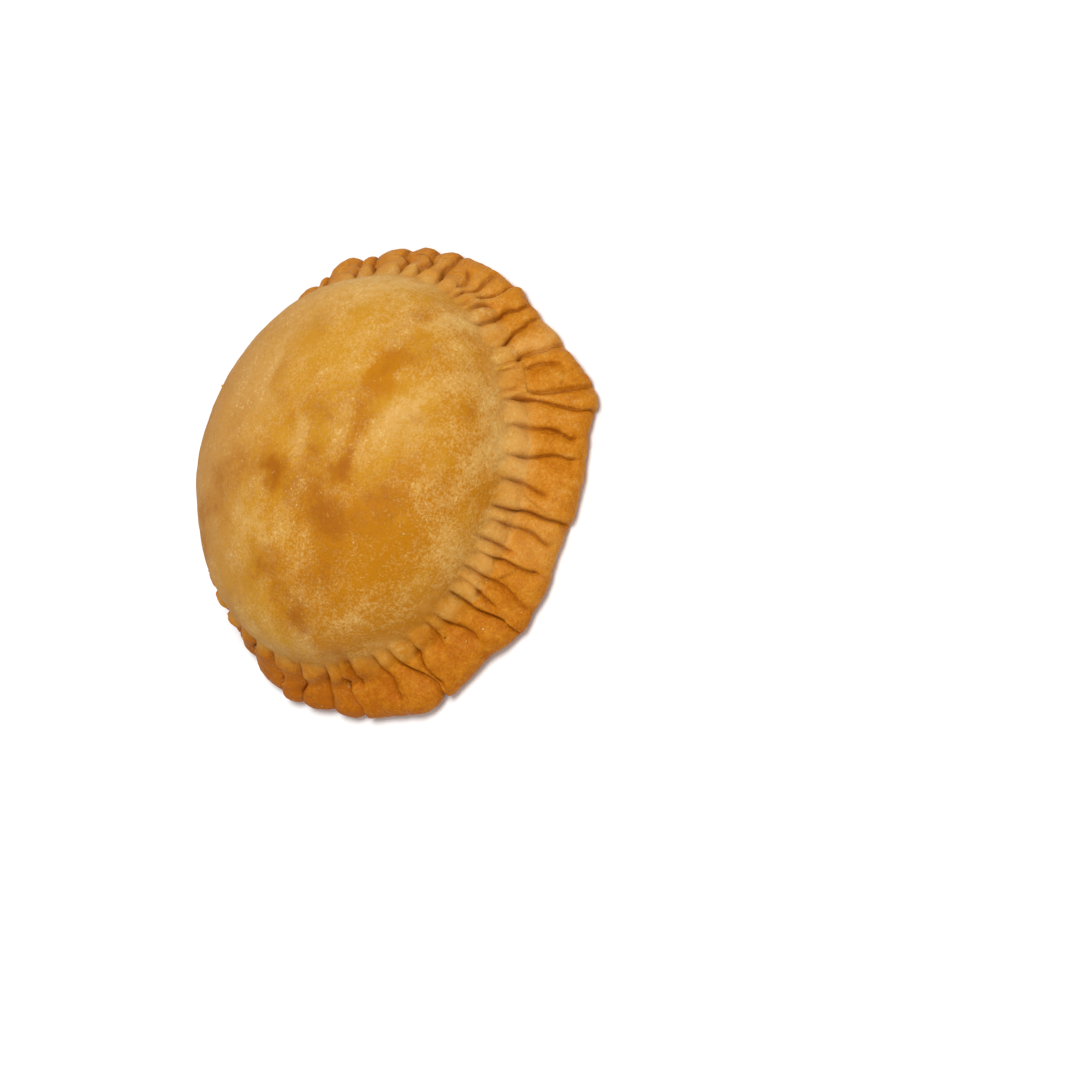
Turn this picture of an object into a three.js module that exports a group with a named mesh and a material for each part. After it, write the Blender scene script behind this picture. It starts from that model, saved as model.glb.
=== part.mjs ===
// A hand pie: a domed lid of shortcrust over its filling, shut all round by a pinched and folded rim.
// Millimetres, +Z up. X runs along the longer way of the oval, and -Y is the side with the wider rim.
// The origin is under the middle of the pie, on the surface that it rests on.

import * as THREE from "three";

// The rim's outer oval, and its lip: a rounded edge of two dough layers pressed together. The lip starts
// where its surface has turned down from 90 degrees, straight up, to the start turn.
const RIM_HALF_LENGTH = 58.9;
const RIM_HALF_WIDTH = 54.5;
const LIP_MIDDLE_HEIGHT = 3;
const LIP_REACH = 3.6;
const LIP_RISE = 2.6;
const LIP_DROP = 2.3;
const LIP_START_TURN = 60;
const FLAT_BASE_INSET = 9;

// The dome's foot on the rim, which lies off centre, and the dome itself. Its wall comes down a little
// inside the foot, straight from where it is steep enough, and a fillet spreads it out to the foot.
const DOME_HALF_LENGTH = 51.9;
const DOME_HALF_WIDTH = 44.4;
const DOME_SHIFT = 4.2;
const DOME_FOOT_HEIGHT = 9.2;
const DOME_HEIGHT = 40.5;
const DOME_FULLNESS = 2.5;
const FOOT_SPREAD = 1.03;
const WALL_FROM = 0.97;
const DOME_FOOT_FILLET = 5;
const DOME_FOOT_BAND = 10;

// Where the rim strays from an even oval: the direction, how far out (or in), and how many degrees it
// takes to fade on the clockwise and on the anticlockwise side.
const RIM_WAVES = [
  { at: -189, out: 1.2, clockwise: 7, anticlockwise: 8 },
  { at: -162, out: 1.0, clockwise: 8, anticlockwise: 7 },
  { at: -148, out: 2.2, clockwise: 6, anticlockwise: 7 },
  { at: -128, out: -1.6, clockwise: 8, anticlockwise: 7 },
  { at: -91, out: -2.2, clockwise: 14, anticlockwise: 17 },
  { at: -55, out: 4.4, clockwise: 4, anticlockwise: 11 },
  { at: -27, out: -1.5, clockwise: 9, anticlockwise: 12 },
  { at: 20, out: 0.8, clockwise: 5, anticlockwise: 6 },
  { at: 36, out: 1.6, clockwise: 6, anticlockwise: 7 },
  { at: 139, out: -3.2, clockwise: 22, anticlockwise: 19 },
];

// The creases between the pinches on the near side, anticlockwise: the direction at the dome's foot, how
// far each leans round by the lip, where on the rim it starts and ends (0 at the foot, 1 at the lip and 2
// underneath it), and its depth.
const NEAR_CREASES = [
  { at: -191.4, lean: 2.5, starts: -0.05, ends: 1.9, depth: 1.6 },
  { at: -181.5, lean: -1, starts: -0.05, ends: 1.9, depth: 1.4 },
  { at: -172.5, lean: -1.5, starts: 0, ends: 1.8, depth: 1.3 },
  { at: -168, lean: 4.5, starts: 0.1, ends: 1.9, depth: 1.9 },
  { at: -164.5, lean: 5, starts: -0.15, ends: 0.4, depth: 0.7 },
  { at: -156, lean: 4, starts: -0.1, ends: 0.9, depth: 1.0 },
  { at: -150.5, lean: 8, starts: 0, ends: 1.9, depth: 2.1 },
  { at: -143, lean: 2.5, starts: 0.05, ends: 1.1, depth: 0.9 },
  { at: -134.5, lean: 1, starts: -0.05, ends: 0.4, depth: 0.7 },
  { at: -130.5, lean: 5, starts: 0, ends: 0.85, depth: 1.1 },
  { at: -121, lean: 4, starts: -0.1, ends: 1.35, depth: 2.0 },
  { at: -115, lean: -2, starts: 0.1, ends: 0.6, depth: 0.7 },
  { at: -110.5, lean: 0, starts: -0.15, ends: 1.3, depth: 1.1 },
  { at: -103.5, lean: 3.5, starts: 0.05, ends: 1.1, depth: 1.1 },
  { at: -98.5, lean: 0.5, starts: -0.15, ends: 0.35, depth: 1.3 },
  { at: -91, lean: -2, starts: 0, ends: 1.2, depth: 1.1 },
  { at: -86, lean: 1, starts: -0.1, ends: 1.5, depth: 2.0 },
  { at: -75.5, lean: -3, starts: -0.05, ends: 0.7, depth: 1.2 },
  { at: -67, lean: -2, starts: 0, ends: 1.2, depth: 1.1 },
  { at: -56.5, lean: -7, starts: 0, ends: 1.15, depth: 1.1 },
  { at: -47.5, lean: -8, starts: 0, ends: 1.6, depth: 1.8 },
  { at: -44.5, lean: -6, starts: 0.25, ends: 1.5, depth: 1.5 },
  { at: -38, lean: -5, starts: 0.3, ends: 1.0, depth: 1.1 },
  { at: -36, lean: -0.5, starts: 0.15, ends: 1.5, depth: 1.1 },
  { at: -30, lean: 3.5, starts: 0.05, ends: 1.4, depth: 1.1 },
  { at: -20.5, lean: -2.5, starts: -0.12, ends: 1.4, depth: 1.9 },
  { at: -14.5, lean: -3, starts: 0, ends: 0.35, depth: 0.7 },
  { at: -12, lean: -3, starts: 0.2, ends: 1.3, depth: 1.0 },
  { at: -8, lean: -2, starts: 0, ends: 1.3, depth: 1.3 },
  { at: -5.5, lean: 2.5, starts: 0.1, ends: 0.9, depth: 0.6 },
  { at: 0.2, lean: 1.5, starts: 0, ends: 1.5, depth: 1.5 },
  { at: 7.5, lean: 1.5, starts: 0, ends: 1.5, depth: 1.4 },
  { at: 13.2, lean: 4, starts: 0, ends: 1.5, depth: 1.3 },
  { at: 22, lean: 3, starts: 0, ends: 1.6, depth: 1.8 },
];

// The far side's creases follow a rule: as many pinches as fit evenly, with every fifth crease a deep one.
const FAR_CREASES = {
  from: 29,
  to: 161,
  count: 20,
  lean: { from: 3, to: -2 },
  unevenness: 1.3,
  every: 5,
  deep: { starts: -0.1, ends: 1.9, depth: 1.8 },
  plain: { starts: 0, ends: 1.8, depth: 1.2 },
};
const CREASE_FADE = 0.12;

// The ridges between the creases rise beyond the dome's foot, with round ends, are lower round the lip,
// and die out on its underside. A ridge is steeper on its clockwise side, and one that is narrower than a
// full pinch is lower too.
const RIDGE_HEIGHT = 1.7;
const HEIGHT_UNEVENNESS = 0.3;
const RIDGE_ROUNDNESS = 2.2;
const RIDGE_SKEW = 0.65;
const RIDGE_START = 0.05;
const RIDGE_RISE = 0.1;
const ROUND_END = 0.1;
const FULL_PINCH_DEGREES = 5;
const LIP_SCALLOP = 0.8;
const LIP_FADE = { from: 0.8, to: 1.3 };
const UNDERSIDE_FADE = { from: 1.5, to: 2 };

// Soft lumps where the filling presses on the lid: place, radius and height.
const LUMPS = [
  { x: -20, y: 14, radius: 17, height: 0.9 },
  { x: 22, y: 10, radius: 15, height: 0.7 },
  { x: 9, y: -17, radius: 9, height: -0.9 },
  { x: -14, y: -16, radius: 14, height: 0.8 },
  { x: 31, y: -12, radius: 10, height: -0.7 },
  { x: -36, y: 2, radius: 10, height: -0.6 },
  { x: -30, y: 27, radius: 17, height: -3.2 },
];

// How finely the surface is divided.
const COLUMNS_IN_PINCH = [0, 0.08, 0.22, 0.42, 0.66, 0.88];
const RIM_TOP_ROWS = [-0.28, -0.15, -0.04, 0.08, 0.22, 0.4, 0.6, 0.8, 1];
const LIP_ROWS = [35, 10, -20, -50, -90];
const DOME_BANDS = [
  { columns: 135, rows: [0.915, 0.875, 0.82, 0.75] },
  { columns: 68, rows: [0.66, 0.56, 0.46, 0.36] },
  { columns: 34, rows: [0.25, 0.13] },
];

const CRUST_COLOUR = 0xcf9040;
const CRUST_ROUGHNESS = 0.62;

const radians = THREE.MathUtils.degToRad;

function uneven(seed) {
  const wave = Math.sin(seed * 12.9898 + 4.1414) * 43758.5453;
  return 2 * (wave - Math.floor(wave)) - 1;
}

function signedTurn(from, to) {
  return THREE.MathUtils.euclideanModulo(to - from + 180, 360) - 180;
}

// The distance from the origin to the rim's outer edge.
function rimRadius(angle) {
  const turn = radians(angle);
  let radius = 1 / Math.hypot(Math.cos(turn) / RIM_HALF_LENGTH, Math.sin(turn) / RIM_HALF_WIDTH);
  for (const wave of RIM_WAVES) {
    const away = signedTurn(wave.at, angle);
    const fade = away < 0 ? wave.clockwise : wave.anticlockwise;
    radius += wave.out * Math.exp(-((away / fade) ** 2));
  }
  return radius;
}

// The distance from the origin to the dome's foot, an ellipse whose centre lies off the origin.
function footRadius(angle) {
  const along = Math.cos(radians(angle)) / DOME_HALF_LENGTH;
  const across = Math.sin(radians(angle)) / DOME_HALF_WIDTH;
  const shift = DOME_SHIFT / DOME_HALF_WIDTH;
  const square = along ** 2 + across ** 2;
  return (across * shift + Math.sqrt((across * shift) ** 2 + square * (1 - shift ** 2))) / square;
}

function lumpHeight(x, y) {
  let height = 0;
  for (const lump of LUMPS) {
    const near = Math.hypot(x - lump.x, y - lump.y) / lump.radius;
    height += lump.height * Math.exp(-(near ** 2));
  }
  return height;
}

// The lid's height over a point. Its wall goes on falling beyond the foot, so that the rim takes over.
function domeHeight(x, y) {
  const share = FOOT_SPREAD * Math.hypot(x / DOME_HALF_LENGTH, (y - DOME_SHIFT) / DOME_HALF_WIDTH);
  const onLid = Math.min(share, WALL_FROM);
  const left = 1 - onLid ** DOME_FULLNESS;
  const slope = onLid ** (DOME_FULLNESS - 1) * left ** (1 / DOME_FULLNESS - 1);
  const rise = left ** (1 / DOME_FULLNESS) - slope * (share - onLid);
  return DOME_FOOT_HEIGHT + (DOME_HEIGHT - DOME_FOOT_HEIGHT + lumpHeight(x, y)) * rise;
}

// The higher of two heights, with a fillet where they cross.
function blendedHeight(first, second) {
  const apart = Math.abs(first - second);
  const inFillet = Math.max(0, DOME_FOOT_FILLET - apart);
  return Math.max(first, second) + inFillet ** 2 / (4 * DOME_FOOT_FILLET);
}

// All creases, anticlockwise from the first, each with the height of the ridge beside it.
function makeCreases() {
  const far = [];
  for (let step = 0; step < FAR_CREASES.count; step += 1) {
    const share = step / (FAR_CREASES.count - 1);
    far.push({
      at: THREE.MathUtils.lerp(FAR_CREASES.from, FAR_CREASES.to, share) + FAR_CREASES.unevenness * uneven(step),
      lean: THREE.MathUtils.lerp(FAR_CREASES.lean.from, FAR_CREASES.lean.to, share),
      ...(step % FAR_CREASES.every === FAR_CREASES.every - 1 ? FAR_CREASES.deep : FAR_CREASES.plain),
    });
  }
  const creases = [...NEAR_CREASES, ...far];
  return creases.map((crease, index) => {
    return { ...crease, ridge: RIDGE_HEIGHT * (1 + HEIGHT_UNEVENNESS * uneven(index + 100)) };
  });
}

const CREASES = makeCreases();

// The direction of a column that runs a given share of the way from one crease to the next.
function columnAngle(index, share, alongRim) {
  const crease = CREASES[index];
  const leaning = THREE.MathUtils.clamp(alongRim, 0, 1);
  return crease.at + crease.lean * leaning + pinchSpan(index, leaning) * share;
}

// How many degrees there are from one crease to the next.
function pinchSpan(index, leaning) {
  const crease = CREASES[index];
  const next = CREASES[(index + 1) % CREASES.length];
  return THREE.MathUtils.euclideanModulo(next.at - crease.at + (next.lean - crease.lean) * leaning, 360);
}

// How far open a crease is at a place over the rim, from 0 to 1.
function openness(crease, alongRim) {
  const { smoothstep } = THREE.MathUtils;
  const opened = smoothstep(alongRim, crease.starts - CREASE_FADE, crease.starts + CREASE_FADE);
  const closed = smoothstep(alongRim, crease.ends - CREASE_FADE, crease.ends + CREASE_FADE);
  return opened * (1 - closed);
}

// How far the surface stands out at a place in a pinch: a rounded ridge between two creases, which runs
// on into the next ridge where the crease between them is closed.
function pinchRelief(index, share, alongRim) {
  const { smoothstep, lerp } = THREE.MathUtils;
  const crease = CREASES[index];
  const next = CREASES[(index + 1) % CREASES.length];
  const across = Math.abs(2 * share ** RIDGE_SKEW - 1);
  const inward = alongRim - RIDGE_START + ROUND_END * (1 - across ** 2);
  const risen = smoothstep(inward, -RIDGE_RISE, RIDGE_RISE);
  const onLip = smoothstep(alongRim, LIP_FADE.from, LIP_FADE.to);
  const underneath = smoothstep(alongRim, UNDERSIDE_FADE.from, UNDERSIDE_FADE.to);
  const strength = lerp(1, LIP_SCALLOP, onLip) * (1 - underneath);
  const nearer = share < 0.5 ? crease : next;
  const valley = openness(nearer, alongRim) * across ** RIDGE_ROUNDNESS;
  const apart = openness(crease, alongRim) * openness(next, alongRim);
  const full = Math.min(1, pinchSpan(index, THREE.MathUtils.clamp(alongRim, 0, 1)) / FULL_PINCH_DEGREES);
  const height = lerp(crease.ridge, next.ridge, share) * lerp(1, full, apart);
  const ridge = risen * height * (1 - valley);
  const groove = share === 0 ? crease.depth * openness(crease, alongRim) : 0;
  return strength * (ridge - groove);
}

// A point on the rim's top face. alongRim is 0 at the dome's foot and 1 where the lip starts to turn down.
function rimTopPoint(index, share, alongRim) {
  const angle = columnAngle(index, share, alongRim);
  const foot = footRadius(angle);
  const outer = rimRadius(angle) - LIP_REACH * (1 - Math.cos(radians(LIP_START_TURN)));
  const width = alongRim < 0 ? DOME_FOOT_BAND : outer - foot;
  const radius = foot + width * alongRim;
  const lipTop = LIP_MIDDLE_HEIGHT + LIP_RISE * Math.sin(radians(LIP_START_TURN));
  const face = THREE.MathUtils.lerp(DOME_FOOT_HEIGHT, lipTop, alongRim);
  const x = radius * Math.cos(radians(angle));
  const y = radius * Math.sin(radians(angle));
  const slope = Math.atan2(DOME_FOOT_HEIGHT - lipTop, outer - foot);
  const relief = pinchRelief(index, share, alongRim);
  return raisedPoint(angle, radius, blendedHeight(domeHeight(x, y), face), relief, slope);
}

// A point on the rounded lip. turn is 90 degrees straight up and -90 at the underside.
function lipPoint(index, share, turn) {
  const angle = columnAngle(index, share, 1);
  const across = Math.cos(radians(turn));
  const up = Math.sin(radians(turn));
  const radius = rimRadius(angle) - LIP_REACH * (1 - across);
  const height = LIP_MIDDLE_HEIGHT + up * (up > 0 ? LIP_RISE : LIP_DROP);
  const over = (LIP_START_TURN - turn) / (LIP_START_TURN + 90);
  const relief = pinchRelief(index, share, 1 + over);
  return raisedPoint(angle, radius, height, relief, radians(90 - turn));
}

function basePoint(index, share) {
  const angle = columnAngle(index, share, 1);
  return raisedPoint(angle, rimRadius(angle) - FLAT_BASE_INSET, 0, 0, 0);
}

// A point moved out of the surface by its relief, along a normal that tilts outwards from straight up.
function raisedPoint(angle, radius, height, relief, tilt) {
  const out = radius + relief * Math.sin(tilt);
  const turn = radians(angle);
  const x = out * Math.cos(turn);
  return new THREE.Vector3(x, out * Math.sin(turn), height + relief * Math.cos(tilt));
}

// A ring's points, and for each of them how far round it is from the first crease.
function rimRing(pointAt) {
  const ring = { points: [], turns: [] };
  for (let index = 0; index < CREASES.length; index += 1) {
    for (const share of COLUMNS_IN_PINCH) {
      ring.points.push(pointAt(index, share));
      ring.turns.push(turnFromFirstCrease(columnAngle(index, share, 0)));
    }
  }
  return ring;
}

function turnFromFirstCrease(angle) {
  return THREE.MathUtils.euclideanModulo(angle - CREASES[0].at, 360);
}

// A ring on the lid, at a share of the way from the middle to the dome's foot.
function domeRing(columns, share) {
  const ring = { points: [], turns: [] };
  for (let column = 0; column < columns; column += 1) {
    const turn = (360 * column) / columns;
    const angle = CREASES[0].at + turn;
    const radius = footRadius(angle) * share;
    const x = radius * Math.cos(radians(angle));
    const y = radius * Math.sin(radians(angle));
    ring.points.push(new THREE.Vector3(x, y, domeHeight(x, y)));
    ring.turns.push(turn);
  }
  return ring;
}

// All rings from the top of the dome, down over the rim and lip, to the edge of the flat base.
function makeRings() {
  const rings = [];
  for (const band of [...DOME_BANDS].reverse()) {
    for (const share of [...band.rows].reverse()) {
      rings.push(domeRing(band.columns, share));
    }
  }
  for (const alongRim of RIM_TOP_ROWS) {
    rings.push(rimRing((index, share) => rimTopPoint(index, share, alongRim)));
  }
  for (const turn of LIP_ROWS) {
    rings.push(rimRing((index, share) => lipPoint(index, share, turn)));
  }
  rings.push(rimRing(basePoint));
  return rings;
}

// Fills the band between two rings, however many points each has.
function stitchRings(inner, outer, faces) {
  const innerCount = inner.turns.length;
  const outerCount = outer.turns.length;
  const innerTurns = [...inner.turns, 360];
  const outerTurns = [...outer.turns, 360];
  let onInner = 0;
  let onOuter = 0;
  while (onInner < innerCount || onOuter < outerCount) {
    const innerHere = inner.start + (onInner % innerCount);
    const outerHere = outer.start + (onOuter % outerCount);
    const innerIsDone = onInner === innerCount;
    if (innerIsDone || (onOuter < outerCount && outerTurns[onOuter + 1] <= innerTurns[onInner + 1])) {
      faces.push(innerHere, outerHere, outer.start + ((onOuter + 1) % outerCount));
      onOuter += 1;
    } else {
      faces.push(innerHere, outerHere, inner.start + ((onInner + 1) % innerCount));
      onInner += 1;
    }
  }
}

function fanFaces(ring, centre, upward, faces) {
  const count = ring.turns.length;
  for (let step = 0; step < count; step += 1) {
    const here = ring.start + step;
    const there = ring.start + ((step + 1) % count);
    faces.push(centre, upward ? here : there, upward ? there : here);
  }
}

function crustGeometry() {
  const rings = makeRings();
  const points = [];
  for (const ring of rings) {
    ring.start = points.length;
    points.push(...ring.points);
  }
  const top = points.push(new THREE.Vector3(0, 0, domeHeight(0, 0))) - 1;
  const bottom = points.push(new THREE.Vector3(0, 0, 0)) - 1;
  const faces = [];
  fanFaces(rings[0], top, true, faces);
  for (let outer = 1; outer < rings.length; outer += 1) {
    stitchRings(rings[outer - 1], rings[outer], faces);
  }
  fanFaces(rings[rings.length - 1], bottom, false, faces);
  const geometry = new THREE.BufferGeometry().setFromPoints(points);
  geometry.setIndex(faces);
  geometry.computeBoundingBox();
  const middle = geometry.boundingBox.getCenter(new THREE.Vector3());
  geometry.translate(-middle.x, -middle.y, -geometry.boundingBox.min.z);
  geometry.computeVertexNormals();
  return geometry;
}

function makeCrust() {
  const material = new THREE.MeshStandardMaterial({
    color: CRUST_COLOUR,
    roughness: CRUST_ROUGHNESS,
    metalness: 0,
  });
  const crust = new THREE.Mesh(crustGeometry(), material);
  crust.name = "hand_pie";
  return crust;
}

const handPie = new THREE.Group();
handPie.add(makeCrust());

export default handPie;
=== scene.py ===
"""A savory hand pie: a domed, mottled golden lid and a pinched rim, on a plain pale table.

The crust is one fine mesh over the plain solid of the frame, in the same form. Sizes are in metres.
"""

import math

import bpy
import numpy as np
from mathutils import Matrix, Vector, noise


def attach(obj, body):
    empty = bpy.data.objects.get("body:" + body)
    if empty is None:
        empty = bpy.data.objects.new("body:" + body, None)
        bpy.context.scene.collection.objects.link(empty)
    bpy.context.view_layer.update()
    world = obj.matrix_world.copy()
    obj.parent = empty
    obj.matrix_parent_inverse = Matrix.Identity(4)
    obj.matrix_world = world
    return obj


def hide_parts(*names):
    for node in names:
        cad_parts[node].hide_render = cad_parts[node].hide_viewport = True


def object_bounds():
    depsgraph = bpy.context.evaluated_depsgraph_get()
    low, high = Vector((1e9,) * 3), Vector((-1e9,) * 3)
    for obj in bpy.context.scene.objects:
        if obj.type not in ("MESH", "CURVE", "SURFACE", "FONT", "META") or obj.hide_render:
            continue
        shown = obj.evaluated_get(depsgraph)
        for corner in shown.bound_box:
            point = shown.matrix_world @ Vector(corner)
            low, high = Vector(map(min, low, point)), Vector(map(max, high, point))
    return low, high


bl_info = {
    "name": "Savory hand pie",
    "version": (1, 0, 0),
    "blender": (4, 5, 0),
    "location": "3D View > Sidebar > Hand pie",
    "description": "Makes a domed hand pie with a pinched rim, its crumbs and its table",
    "category": "Add Mesh",
}

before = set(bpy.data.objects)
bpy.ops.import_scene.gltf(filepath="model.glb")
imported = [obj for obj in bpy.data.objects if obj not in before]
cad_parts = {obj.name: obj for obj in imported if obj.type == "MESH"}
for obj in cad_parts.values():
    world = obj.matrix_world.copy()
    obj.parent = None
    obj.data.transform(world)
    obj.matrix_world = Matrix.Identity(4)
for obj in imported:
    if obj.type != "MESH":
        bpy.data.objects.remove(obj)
SOLID_LOW, SOLID_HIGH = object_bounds()

NODE = "hand_pie"
BODY = "root"
MM = 0.001

# Where the rim strays from an even oval: the direction in degrees, how far out in millimetres, and how
# many degrees it takes to fade on the clockwise and on the anticlockwise side.
RIM_WAVES = (
    (-189, 1.2, 7, 8),
    (-162, 1.0, 8, 7),
    (-148, 2.2, 6, 7),
    (-128, -1.6, 8, 7),
    (-91, -2.2, 14, 17),
    (-55, 4.4, 4, 11),
    (-27, -1.5, 9, 12),
    (20, 0.8, 5, 6),
    (36, 1.6, 6, 7),
    (139, -3.2, 22, 19),
)

# The creases between the pinches on the near side, anticlockwise: the direction at the dome's foot in
# degrees, how far each leans round by the lip, where on the rim it starts and ends (0 at the foot, 1 at
# the lip and 2 underneath it), and its depth in millimetres.
NEAR_CREASES = (
    (-191.4, 2.5, -0.05, 1.9, 1.6),
    (-181.5, -1, -0.05, 1.9, 1.4),
    (-172.5, -1.5, 0, 1.8, 1.3),
    (-168, 4.5, 0.1, 1.9, 1.9),
    (-164.5, 5, -0.15, 0.4, 0.7),
    (-156, 4, -0.1, 0.9, 1.0),
    (-150.5, 8, 0, 1.9, 2.1),
    (-143, 2.5, 0.05, 1.1, 0.9),
    (-134.5, 1, -0.05, 0.4, 0.7),
    (-130.5, 5, 0, 0.85, 1.1),
    (-121, 4, -0.1, 1.35, 2.0),
    (-115, -2, 0.1, 0.6, 0.7),
    (-110.5, 0, -0.15, 1.3, 1.1),
    (-103.5, 3.5, 0.05, 1.1, 1.1),
    (-98.5, 0.5, -0.15, 0.35, 1.3),
    (-91, -2, 0, 1.2, 1.1),
    (-86, 1, -0.1, 1.5, 2.0),
    (-75.5, -3, -0.05, 0.7, 1.2),
    (-67, -2, 0, 1.2, 1.1),
    (-56.5, -7, 0, 1.15, 1.1),
    (-47.5, -8, 0, 1.6, 1.8),
    (-44.5, -6, 0.25, 1.5, 1.5),
    (-38, -5, 0.3, 1.0, 1.1),
    (-36, -0.5, 0.15, 1.5, 1.1),
    (-30, 3.5, 0.05, 1.4, 1.1),
    (-20.5, -2.5, -0.12, 1.4, 1.9),
    (-14.5, -3, 0, 0.35, 0.7),
    (-12, -3, 0.2, 1.3, 1.0),
    (-8, -2, 0, 1.3, 1.3),
    (-5.5, 2.5, 0.1, 0.9, 0.6),
    (0.2, 1.5, 0, 1.5, 1.5),
    (7.5, 1.5, 0, 1.5, 1.4),
    (13.2, 4, 0, 1.5, 1.3),
    (22, 3, 0, 1.6, 1.8),
)

# The far side's creases follow a rule, with every fifth a deep one.
FAR_FROM, FAR_TO, FAR_COUNT = 29, 161, 20
FAR_LEAN = (3, -2)
FAR_UNEVENNESS = 1.3
FAR_DEEP_EVERY = 5
FAR_DEEP = (-0.1, 1.9, 1.8)
FAR_PLAIN = (0, 1.8, 1.2)
CREASE_FADE = 0.12

# Short tucks across the ridges: (direction, share of the way over the rim) from point to point.
TUCKS = (
    ((-43, 0.98), (-44.8, 0.98), (-47, 0.9), (-48.5, 0.8)),
    ((-80, 0.24), (-81.5, 0.44), (-83, 0.65), (-84.3, 0.92)),
    ((-60, 0.45), (-60.8, 0.62), (-60.4, 0.8)),
    ((-134, 0.02), (-132.8, 0.12), (-133.5, 0.3)),
    ((-103, 0.62), (-105.5, 0.5), (-107.5, 0.38)),
)

# Soft lumps where the filling presses on the lid: x, y, radius and height in millimetres.
LUMPS = (
    (-20, 14, 17, 0.9),
    (22, 10, 15, 0.7),
    (9, -17, 9, -0.9),
    (-14, -16, 14, 0.8),
    (31, -12, 10, -0.7),
    (-36, 2, 10, -0.6),
    (-30, 27, 17, -3.2),
)

# Marks on the lid: x, y, half length and half width in millimetres, the turn of the long way in
# degrees, then how much browner, how much more amber and how much more floury the crust is there. The golden
# one on the near side is painted light.
BAKE_MARKS = {
    "floury foot on the near side": (18, -38, 18, 3, 22, -0.25, -0.3, 0.6),
    "golden foot at the lower end": (-43, -11, 12, 4, -74, -0.25, 0, 0.1),
    "brown left middle": (0, 4, 11, 6.5, 0, 0.2, 0.2, -0.3),
    # Painted light: the near side is made paler, as though more light fell on it.
    "painted light on the near side": (33, -24, 10, 6, -50, -0.16, 0, 0.05),
    "floury flecks near side": (5, -29, 6, 3, -10, -0.1, 0, 0.4),
    "golden beside the pale streak": (14, -26, 5, 3, 0, 0.12, 0.2, -0.25),
    "golden foot in the middle": (-10, -38, 11, 4, -14, -0.24, 0, 0.15),
    "floury flecks in the middle": (4, 5.5, 7, 2, 20, -0.05, -0.2, 0.6),
    "floury flecks on the far side": (-21, 12, 7, 3, 60, -0.05, -0.2, 0.5),
    "floury line on the far side": (17, 22, 8, 1.6, 10, -0.05, -0.2, 0.6),
    "amber spot": (25, -8.5, 4.2, 3.4, 20, 0.16, 3, -1.6),
    "amber streak": (11, -8.5, 8, 2.6, 0, 0.1, 0.9, -0.5),
    "brown spot on the far side": (-6.5, 10, 4.6, 3.4, 40, 0.5, 0.6, -0.6),
    "brown cloud": (-12.5, -9, 8, 5, 40, 0.3, 0.5, -0.3),
    "amber lower side": (-28, -14, 20, 15, 35, 0.04, 0.5, -0.15),
    "amber near side": (-8, -25, 18, 8, -30, 0, 0.7, -0.4),
    "amber cloud": (-22, -8, 12, 7, 20, 0.14, 0.6, 0),
    "brown spot in the middle": (0, -9.5, 3.6, 2.6, 0, 0.4, 0.8, -0.5),
    "pale streak": (17, -18.5, 8, 3.4, -30, -0.2, -0.2, 0.6),
    "brown fleck in the pale streak": (16.5, -21, 3, 2.2, 0, 0.29, 0, 0),
    "dimple": (21.5, -29.5, 2.4, 2.0, 0, 0.29, 0, 0),
    "dull patch": (3, 25.5, 5, 4, 0, 0.1, -0.6, 0),
    "leak at the foot": (28, -32.6, 3.4, 1.1, -24, 0.29, 1.0, 0),
    "pale foot": (45, -19, 10, 2.4, 118, -0.18, 0, 0.7),
    "pale foot at the end": (46, 8, 14, 4, 112, -0.05, -0.4, 0.6),
    "golden side": (8, -37, 14, 5, 8, -0.2, 0.1, 0.1),
    "golden lower side": (-24, -31, 13, 5, -38, -0.36, 0.1, 0),
    "brown at the end": (42, -8, 4.5, 2.8, 70, 0.26, 0.1, 0),
    "dull brown": (18, 19, 7, 5, 20, 0.16, -0.1, 0),
    "brown band": (-31, 8, 9, 5, 60, 0.22, 0.1, 0),
    "brown dimple": (-39.5, -4.5, 3.2, 2.4, 0, 0.32, 0, 0),
    "orange brown": (-31, 3, 7, 5, 20, 0.16, 0.4, -0.1),
    "far edge": (-20, 32, 24, 7, 160, 0.22, 0, 0),
    "pink edge": (38, 27, 16, 6, 130, 0.1, -0.7, 0.35),
    "left foot": (-46, -12, 12, 3.4, 66, 0.29, 0.1, 0),
    "pale middle": (34, 6, 10, 8, 0, -0.08, -0.1, 0.05),
    "far pale": (14, 27, 14, 5, 170, -0.06, -0.3, 0.25),
}

# Marks on the rim: the direction and half width in degrees, how much browner and how floury. The two at the
# lower end and on the near side are painted shade, where the rim faces away from the light.
RIM_MARKS = {
    # Painted shade: the rim's lower end and near side face away from the light.
    "painted shade on the lower end": (-172, 34, 0.26, 0),
    "painted shade on the near side": (-118, 26, 0.14, 0),
    "brown behind the end": (160, 24, 0.2, 0.1),
    "floury ridge": (-33, 3.4, -0.2, 0.5),
    "floury ridges on the near side": (-92, 9, -0.1, 0.3),
    "dull far end": (24, 22, 0.06, 0.25),
    "dull right end": (-4, 14, 0, 0.3),
}

# The dome: how full its curve is, how far it spreads at the foot, and where it runs on as a straight wall.
DOME_FULLNESS = 2.5
FOOT_SPREAD = 1.03
WALL_FROM = 0.97

# How uneven the ridges' heights are, how many degrees a crease wanders and how soon, and how far the middle
# of a ridge lies from its first crease, with how much that varies.
HEIGHT_UNEVENNESS = 0.3
CREASE_WANDER = 0.7
WANDER_TURNS = 0.8
WANDER_SETTLED = 0.3
RIDGE_SKEW = 0.65
SKEW_UNEVENNESS = 0.1
HEIGHT_SEED, PHASE_SEED, SKEW_SEED = 100, 400, 600

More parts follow.
